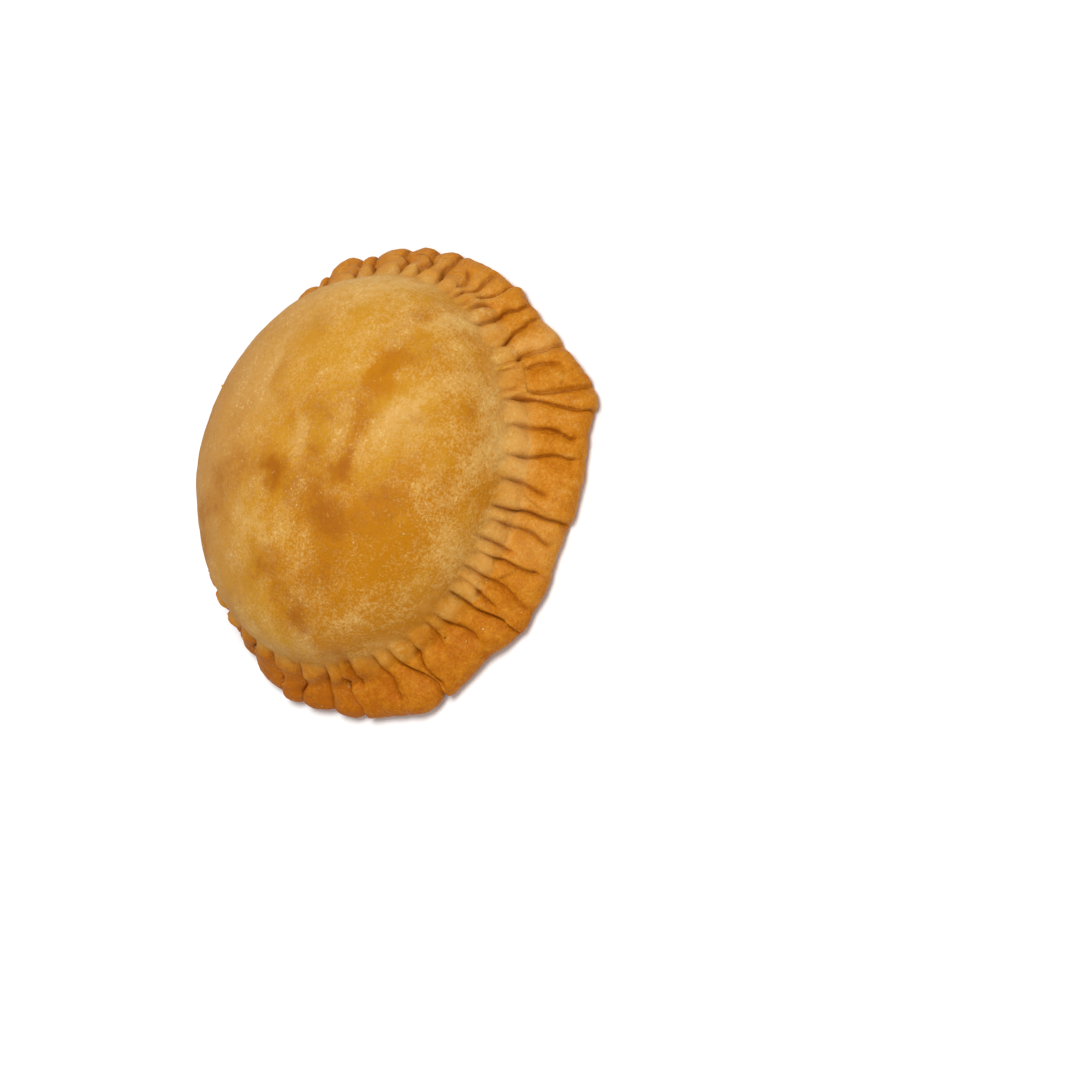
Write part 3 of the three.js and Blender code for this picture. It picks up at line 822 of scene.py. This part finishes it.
class Nodes:
    """A short way to write a material's nodes."""

    def __init__(self, name):
        self.material = bpy.data.materials.new(name)
        self.material.use_nodes = True
        self.tree = self.material.node_tree
        self.shader = self.tree.nodes["Principled BSDF"]

    def add(self, kind, settings=None, **inputs):
        node = self.tree.nodes.new(kind)
        for key, value in (settings or {}).items():
            setattr(node, key, value)
        for key, value in inputs.items():
            self.put(node, key.replace("_", " "), value)
        return node

    def put(self, node, socket, value):
        target = node.inputs[int(socket)] if socket.isdigit() else node.inputs[socket]
        if isinstance(value, bpy.types.NodeSocket):
            self.tree.links.new(value, target)
        else:
            target.default_value = value

    def attribute(self, name):
        return self.add("ShaderNodeAttribute", {"attribute_name": name}).outputs["Fac"]

    def maths(self, operation, first, second, third=None, clamp=False):
        node = self.add("ShaderNodeMath", {"operation": operation, "use_clamp": clamp})
        self.put(node, "0", first)
        self.put(node, "1", second)
        if third is not None:
            self.put(node, "2", third)
        return node.outputs[0]

    def mix(self, factor, first, second):
        node = self.add("ShaderNodeMix", {"data_type": "RGBA"})
        self.put(node, "0", factor)
        self.put(node, "6", first)
        self.put(node, "7", second)
        return node.outputs[2]

    def noise(self, place, wavelength, detail, roughness):
        node = self.add("ShaderNodeTexNoise", Vector=place, Scale=1 / wavelength, Detail=detail,
                        Roughness=roughness)
        return node.outputs["Fac"]

    def between(self, value, low, high):
        """0 below low, 1 above high, and a soft step between them."""
        node = self.add("ShaderNodeMapRange", {"interpolation_type": "SMOOTHSTEP"}, Value=value)
        self.put(node, "1", low)
        self.put(node, "2", high)
        return node.outputs[0]

    def add_up(self, start, patterns, shares):
        """A start value with a share of each named pattern added."""
        total = start
        for name, share in shares.items():
            total = self.maths("MULTIPLY_ADD", patterns[name], share, total)
        return total

    def ramp(self, value, stops):
        node = self.add("ShaderNodeValToRGB", Fac=value)
        points = node.color_ramp.elements
        while len(points) < len(stops):
            points.new(0.5)
        for point, (position, shade) in zip(points, stops):
            point.position = position
            point.color = shade
        return node.outputs["Color"]


def opaque(shade):
    return (*shade, 1.0)


def lid_shade(nodes, patterns, bake, greasy, colours):
    """The lid: golden and greasy amber under a floury film, with a painted sheen of dull tan on the far side,
    browned in patches.
    """
    shade = nodes.mix(greasy, opaque(colours.golden), opaque(colours.amber))
    film = nodes.between(nodes.add_up(bake["flour"], patterns, FILM), *FILM_RANGE)
    shade = nodes.mix(film, shade, opaque(colours.pale))
    # Painted sheen on the far side.
    shade = nodes.mix(nodes.maths("MULTIPLY", bake["dull"], FAR_SHEEN_STRENGTH), shade, opaque(colours.dull))
    browned = nodes.between(nodes.add_up(bake["brown"], patterns, BROWNING), *BROWNING_RANGE)
    return nodes.mix(browned, shade, opaque(colours.brown))


def rim_shade(nodes, patterns, bake, colours):
    """The rim, from pale to well baked; its browning also carries the painted shade of its valleys, its lower
    end and its near side.
    """
    toasted = nodes.add_up(bake["brown"], patterns, TOASTING)
    toasted = nodes.maths("SUBTRACT", toasted, TOASTING_FROM, clamp=True)
    shades = (opaque(colours.rim_pale), opaque(colours.rim), opaque(colours.rim_brown))
    return nodes.ramp(toasted, tuple(zip(TOASTING_STOPS, shades)))


def floury_specks(nodes, place, patterns, bake):
    """How much flour shows in specks and flecks: most in the clouds and little on the rim."""
    warp = nodes.add("ShaderNodeTexNoise", Vector=place, Scale=1 / SPECK_WARP_SIZE, Detail=1.0)
    warp = nodes.add("ShaderNodeVectorMath", {"operation": "SCALE"}, Vector=warp.outputs["Color"],
                     Scale=SPECK_WARP)
    strewn = nodes.add("ShaderNodeVectorMath", {"operation": "ADD"})
    nodes.put(strewn, "0", place)
    nodes.put(strewn, "1", warp.outputs["Vector"])
    strewn = nodes.add("ShaderNodeTexVoronoi", Vector=strewn.outputs["Vector"], Scale=1 / SPECK_SPACING)
    size = nodes.maths("MULTIPLY_ADD", strewn.outputs["Color"], *SPECK_SIZES)
    specks = nodes.between(nodes.maths("SUBTRACT", size, strewn.outputs["Distance"]), *SPECK_EDGE)
    thick = nodes.between(patterns["clouds"], *THICK_CLOUDS)
    specks = nodes.maths("MULTIPLY", specks, nodes.maths("MULTIPLY_ADD", thick, *SPECK_STRENGTH))
    flecks = nodes.add_up(patterns["flecks"], patterns, FLECKS)
    flecks = nodes.maths("MULTIPLY_ADD", bake["flour"], FLECKS_IN_FLOUR, flecks)
    flecks = nodes.maths("MULTIPLY", nodes.between(flecks, *FLECK_RANGE), FLECK_STRENGTH)
    specks = nodes.maths("MAXIMUM", specks, flecks)
    return nodes.maths("MULTIPLY", specks, nodes.maths("MULTIPLY_ADD", bake["rim"], SPECKS_LOST_ON_RIM, 1.0))


def add_crust_gloss(nodes, patterns, greasy):
    """Shinier where it is greasy, a little rough in the grain, and glowing faintly from inside."""
    rough = nodes.maths("MULTIPLY_ADD", greasy, GREASE_SHINE, DRY_ROUGHNESS)
    rough = nodes.maths("MULTIPLY_ADD", patterns["grain"], GRAIN_ROUGHNESS, rough)
    nodes.put(nodes.shader, "Roughness", rough)
    nodes.put(nodes.shader, "Specular IOR Level", CRUST_SPECULAR)
    nodes.put(nodes.shader, "Subsurface Weight", GLOW)
    nodes.put(nodes.shader, "Subsurface Radius", GLOW_COLOURS)
    nodes.put(nodes.shader, "Subsurface Scale", GLOW_DEPTH)


def add_crust_bumps(nodes, place, patterns):
    """Fine blisters in the crust."""
    cells = nodes.add("ShaderNodeTexVoronoi", {"feature": "SMOOTH_F1"}, Vector=place, Scale=1 / BLISTER_SIZE)
    height = nodes.maths("MULTIPLY_ADD", cells.outputs["Distance"], BLISTER_DEPTH, patterns["blisters"])
    bump = nodes.add("ShaderNodeBump", Strength=BUMP_STRENGTH, Distance=BUMP_HEIGHT, Height=height)
    nodes.put(nodes.shader, "Normal", bump.outputs["Normal"])


def crust_material(colours):
    """Mottled golden pastry: blotches, streaks, pale specks, floury film, amber grease, painted shade in the
    creases and a painted sheen on the far side.
    """
    nodes = Nodes("baked crust")
    place = nodes.add("ShaderNodeTexCoord").outputs["Object"]
    streaked = nodes.add("ShaderNodeMapping", {"vector_type": "TEXTURE"}, Vector=place,
                         Rotation=(0, 0, math.radians(STREAK_TURN)), Scale=STREAK_STRETCH).outputs["Vector"]
    bake = {name: nodes.attribute(name) for name in BAKE_ATTRIBUTES}
    patterns = {name: nodes.noise(place, size * MM, *look) for name, (size, *look) in PATTERNS.items()}
    for name, (size, *look) in STREAKED_PATTERNS.items():
        patterns[name] = nodes.noise(streaked, size * MM, *look)

    greasy = nodes.between(nodes.add_up(bake["amber"], patterns, GREASE), *GREASE_RANGE)
    lid = lid_shade(nodes, patterns, bake, greasy, colours)
    shade = nodes.mix(bake["rim"], lid, rim_shade(nodes, patterns, bake, colours))
    dusting = nodes.maths("MULTIPLY", bake["flour"], nodes.between(patterns["mottles"], *DUSTING_RANGE))
    shade = nodes.mix(nodes.maths("MULTIPLY", dusting, DUSTING, clamp=True), shade, opaque(colours.flour))
    shade = nodes.mix(floury_specks(nodes, place, patterns, bake), shade, opaque(colours.flour))
    pits = nodes.between(patterns["pits"], *PITTING_RANGE)
    shade = nodes.mix(nodes.maths("MULTIPLY", pits, PITTING), shade, opaque(colours.brown))
    # Painted shade: the crease and tuck lines are darkened toward the crease shade colour.
    crease_shade_share = nodes.maths("MULTIPLY", bake["crease"], CREASE_PAINTED_SHADE, clamp=True)
    nodes.put(nodes.shader, "Base Color", nodes.mix(crease_shade_share, shade, opaque(colours.painted_crease_shade)))
    add_crust_gloss(nodes, patterns, greasy)
    add_crust_bumps(nodes, place, patterns)
    return nodes.material


def crumb_material(colours):
    nodes = Nodes("dry crumbs")
    place = nodes.add("ShaderNodeTexCoord").outputs["Object"]
    tone = nodes.noise(place, *CRUMB_TONES)
    shade = nodes.ramp(tone, tuple(zip(CRUMB_STOPS, (opaque(colours.golden), opaque(colours.flour)))))
    nodes.put(nodes.shader, "Base Color", shade)
    nodes.put(nodes.shader, "Roughness", CRUMB_ROUGHNESS)
    bump = nodes.add("ShaderNodeBump", Strength=CRUMB_BUMP_STRENGTH, Distance=CRUMB_BUMP_HEIGHT,
                     Height=nodes.noise(place, *CRUMB_BUMPS))
    nodes.put(nodes.shader, "Normal", bump.outputs["Normal"])
    return nodes.material


def table_material(shade):
    nodes = Nodes("pale table")
    place = nodes.add("ShaderNodeTexCoord").outputs["Object"]
    nodes.put(nodes.shader, "Base Color", opaque(shade))
    grain = nodes.noise(place, *TABLE_GRAIN)
    nodes.put(nodes.shader, "Roughness", nodes.maths("MULTIPLY_ADD", grain, *TABLE_ROUGHNESS))
    nodes.put(nodes.shader, "Specular IOR Level", TABLE_SPECULAR)
    return nodes.material


# ---------------------------------------------------------------- pieces

def new_object(name, mesh):
    piece = bpy.data.objects.new(name, mesh)
    bpy.context.scene.collection.objects.link(piece)
    return piece


def set_attribute(mesh, name, values):
    attribute = mesh.attributes.new(name, "FLOAT", "POINT")
    attribute.data.foreach_set("value", np.asarray(values, dtype=np.float32))


def vertex_normals(mesh):
    normals = np.empty(len(mesh.vertices) * 3, dtype=np.float32)
    mesh.vertices.foreach_get("normal", normals)
    return normals.reshape(-1, 3).astype(float)


def make_crust(sizes, colours):
    """The whole crust as one closed mesh, its box centred on the solid's."""
    creases = Creases(sizes)
    pinch, share = pinch_columns(creases)
    surface = Surface()
    add_dome_rings(surface, creases, sizes, len(pinch))
    turns = add_rim_rings(surface, creases, sizes, pinch, share)
    add_lip_rings(surface, creases, sizes, pinch, share, turns)
    angle, radius = np.radians(surface.gather("angle")), surface.gather("radius")
    points = np.stack((radius * np.cos(angle), radius * np.sin(angle), surface.gather("height")), axis=1)
    middle = np.zeros(1)
    top_height = dome_height(middle, middle, sizes)[0]
    plain = np.vstack((points, (0, 0, top_height), (0, 0, 0)))
    faces = crust_faces(surface.rings, len(points), len(points) + 1)
    mesh = bpy.data.meshes.new("crust")
    mesh.from_pydata(plain.tolist(), [], faces)
    normals = vertex_normals(mesh)[:-2]

    relief, crease, valley = crust_relief(creases, surface, points)
    raised = points + normals * relief[:, None]
    raised[:, 2] = np.maximum(raised[:, 2], 0)
    shaped = np.vstack((raised, (0, 0, top_height), (0, 0, 0)))
    low, high = shaped.min(axis=0), shaped.max(axis=0)
    solid_middle = (np.array(SOLID_LOW) + np.array(SOLID_HIGH)) / 2
    shift = np.array([*(solid_middle - (low + high) / 2)[:2], SOLID_LOW[2] - low[2]])
    mesh.vertices.foreach_set("co", (shaped + shift).ravel())

    for name, values in bake_attributes(points, surface.gather("along"), crease, valley).items():
        set_attribute(mesh, name, np.append(values, (values[0], values[-1])))
    mesh.shade_smooth()
    mesh.materials.append(crust_material(colours))
    return new_object("crust", mesh)


def make_crumbs(sizes, colours, crust):
    """Crumbs and grains of flour stuck to the crust, joined in one mesh."""
    draw = np.random.default_rng(CRUMB_SEED)
    mesh = crust.data
    count = len(mesh.vertices)
    places = np.empty(count * 3, dtype=np.float32)
    mesh.vertices.foreach_get("co", places)
    places = places.reshape(-1, 3).astype(float)
    normals = vertex_normals(mesh)
    upward = np.nonzero(normals[:, 2] > STEEPEST_CRUMB)[0]
    weight = np.hypot(places[upward, 0], places[upward, 1])
    chosen = draw.choice(upward, CRUMB_COUNT + GRAIN_COUNT, replace=False, p=weight / weight.sum())
    points, faces = [], []
    for number, vertex in enumerate(chosen):
        width = sizes.crumb_size * draw.uniform(*(GRAIN_WIDTHS if number >= CRUMB_COUNT else CRUMB_WIDTHS))
        lump = lump_points(draw, width / 2)
        centre = places[vertex] + normals[vertex] * width * CRUMB_LIFT
        faces.extend(tuple(corner + len(points) for corner in face) for face in LUMP_FACES)
        points.extend((centre + lump).tolist())
    crumbs = bpy.data.meshes.new("crumbs")
    crumbs.from_pydata(points, [], faces)
    crumbs.shade_smooth()
    crumbs.materials.append(crumb_material(colours))
    return new_object("crumbs", crumbs)


def lump_points(draw, radius):
    """The corners of one small uneven lump about its own middle."""
    stretch = draw.uniform(*CRUMB_STRETCH, 3)
    turn = np.array(Matrix.Rotation(draw.uniform(0, 2 * math.pi), 3, Vector(draw.normal(size=3))))
    knobs = draw.uniform(*CRUMB_KNOBS, len(LUMP_CORNERS))
    return (LUMP_CORNERS * knobs[:, None] * stretch * radius) @ turn.T


def carry(piece):
    """A piece that rides with the pie."""
    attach(piece, BODY)


# ---------------------------------------------------------------- table, lamps and camera

def camera_turn(lens):
    """The camera's rotation: raised over the near side, rolled, and aimed so that the pie is off centre."""
    back = Vector((0, -math.sin(math.radians(CAMERA_TILT)), math.cos(math.radians(CAMERA_TILT))))
    upright = (-back).to_track_quat("-Z", "Y")
    rolled = upright @ Matrix.Rotation(math.radians(-CAMERA_ROLL), 3, "Z").to_quaternion()
    focal = lens / SENSOR_WIDTH * PICTURE_SIZE
    across = (TARGET_IN_PICTURE[0] - PICTURE_SIZE / 2) / focal
    up = (PICTURE_SIZE / 2 - TARGET_IN_PICTURE[1]) / focal
    aim = Vector((0, 0, -1)).rotation_difference(Vector((across, up, -1)))
    return rolled @ aim.inverted(), back


def make_camera(lens):
    data = bpy.data.cameras.new("camera")
    data.lens = lens
    data.sensor_width = SENSOR_WIDTH
    data.clip_start = NEAREST_SEEN
    camera = bpy.data.objects.new("camera", data)
    camera.rotation_mode = "QUATERNION"
    turn, back = camera_turn(lens)
    distance = lens / SENSOR_WIDTH * PICTURE_SIZE / PICTURE_SCALE
    camera.rotation_quaternion = turn
    camera.location = Vector(CAMERA_TARGET) + back * distance
    bpy.context.scene.collection.objects.link(camera)
    bpy.context.scene.camera = camera


def make_lamp(name, place, size, power):
    data = bpy.data.lights.new(name, "AREA")
    data.shape = "DISK"
    data.size = size
    data.energy = power
    lamp = bpy.data.objects.new(name, data)
    lamp.location = place
    lamp.rotation_euler = (-Vector(place)).to_track_quat("-Z", "Y").to_euler()
    bpy.context.scene.collection.objects.link(lamp)


def make_table(shade):
    mesh = bpy.data.meshes.new("table")
    half = TABLE_HALF_SIZE
    corners = [(-half, -half, 0), (half, -half, 0), (half, half, 0), (-half, half, 0)]
    mesh.from_pydata(corners, [], [(0, 1, 2, 3)])
    mesh.materials.append(table_material(shade))
    table = new_object("table", mesh)
    table.location.z = SOLID_LOW[2]


def make_sky(strength):
    world = bpy.data.worlds.new("sky")
    world.use_nodes = True
    background = world.node_tree.nodes["Background"]
    background.inputs["Color"].default_value = (1, 1, 1, 1)
    background.inputs["Strength"].default_value = strength
    bpy.context.scene.world = world


# ---------------------------------------------------------------- operators and panel

class HANDPIE_OT_add_crust(bpy.types.Operator):
    """Make the crust: the domed lid, the pinched rim and the base"""

    bl_idname = "handpie.add_crust"
    bl_label = "Add crust"
    bl_options = {"REGISTER", "UNDO"}

    def execute(self, context):
        crust = make_crust(context.scene.hand_pie_sizes, context.scene.hand_pie_colours)
        carry(crust)
        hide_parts(NODE)
        return {"FINISHED"}


class HANDPIE_OT_add_crumbs(bpy.types.Operator):
    """Scatter crumbs and grains of flour over the crust"""

    bl_idname = "handpie.add_crumbs"
    bl_label = "Add crumbs"
    bl_options = {"REGISTER", "UNDO"}

    def execute(self, context):
        crust = bpy.data.objects.get("crust")
        if crust is None:
            raise RuntimeError("make the crust before its crumbs")
        carry(make_crumbs(context.scene.hand_pie_sizes, context.scene.hand_pie_colours, crust))
        return {"FINISHED"}


class HANDPIE_OT_add_studio(bpy.types.Operator):
    """Set the pale table, the soft lamps and the camera"""

    bl_idname = "handpie.add_studio"
    bl_label = "Add studio"
    bl_options = {"REGISTER", "UNDO"}

    def execute(self, context):
        studio = context.scene.hand_pie_studio
        make_table(studio.table_colour)
        make_lamp("key light", KEY_PLACE, KEY_SIZE, studio.key_power)
        make_lamp("fill light", FILL_PLACE, FILL_SIZE, studio.fill_power)
        make_sky(studio.sky_strength)
        make_camera(studio.lens)
        context.scene.view_settings.view_transform = "Standard"
        return {"FINISHED"}


class HANDPIE_PT_panel(bpy.types.Panel):
    """Sizes, colours and buttons of the hand pie"""

    bl_idname = "HANDPIE_PT_panel"
    bl_label = "Hand pie"
    bl_space_type = "VIEW_3D"
    bl_region_type = "UI"
    bl_category = "Hand pie"

    def draw(self, context):
        layout = self.layout
        for title, name in (("Sizes", "hand_pie_sizes"), ("Colours", "hand_pie_colours"),
                            ("Studio", "hand_pie_studio")):
            box = layout.box()
            box.label(text=title)
            group = getattr(context.scene, name)
            for key in group.__annotations__:
                box.prop(group, key)
        for operator in OPERATORS:
            layout.operator(operator.bl_idname)


GROUPS = {
    "hand_pie_sizes": HandPieSizes,
    "hand_pie_colours": HandPieColours,
    "hand_pie_studio": HandPieStudio,
}
OPERATORS = (HANDPIE_OT_add_crust, HANDPIE_OT_add_crumbs, HANDPIE_OT_add_studio)


def register():
    for made in (*GROUPS.values(), *OPERATORS, HANDPIE_PT_panel):
        bpy.utils.register_class(made)
    for name, group in GROUPS.items():
        setattr(bpy.types.Scene, name, bpy.props.PointerProperty(type=group))


def unregister():
    for name in GROUPS:
        delattr(bpy.types.Scene, name)
    for made in (HANDPIE_PT_panel, *reversed(OPERATORS), *reversed(GROUPS.values())):
        bpy.utils.unregister_class(made)


def main():
    register()
    bpy.ops.handpie.add_crust()
    bpy.ops.handpie.add_crumbs()
    bpy.ops.handpie.add_studio()


if __name__ == "__main__":
    main()
